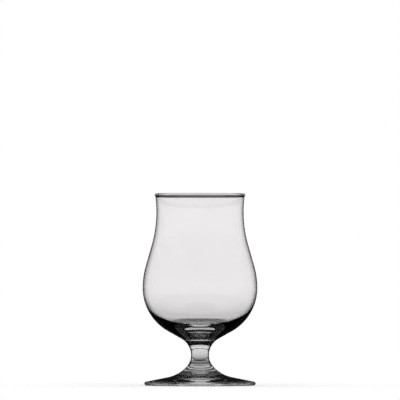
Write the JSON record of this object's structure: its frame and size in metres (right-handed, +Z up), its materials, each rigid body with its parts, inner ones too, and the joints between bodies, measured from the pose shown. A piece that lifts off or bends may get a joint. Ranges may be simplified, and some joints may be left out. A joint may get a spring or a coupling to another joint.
{
  "type": "whisky nosing glass",
  "caption": "Clear stemmed nosing glass: tulip bowl with a wide belly, narrow neck and flared beaded rim, on a short waisted stem and a round sloped foot.",
  "frame": {"origin": "on the glass's axis, at the level of the table the foot stands on", "axes": "+Z up along the glass's axis; the glass is round, so X and Y have no face of their own"},
  "size_m": [0.0686, 0.0686, 0.115],
  "materials": {
    "clear_glass": "clear, smooth and fire-polished"
  },
  "bodies": {
    "root": {"bowl": "clear_glass", "stem": "clear_glass", "foot": "clear_glass"}
  },
  "joints": []
}
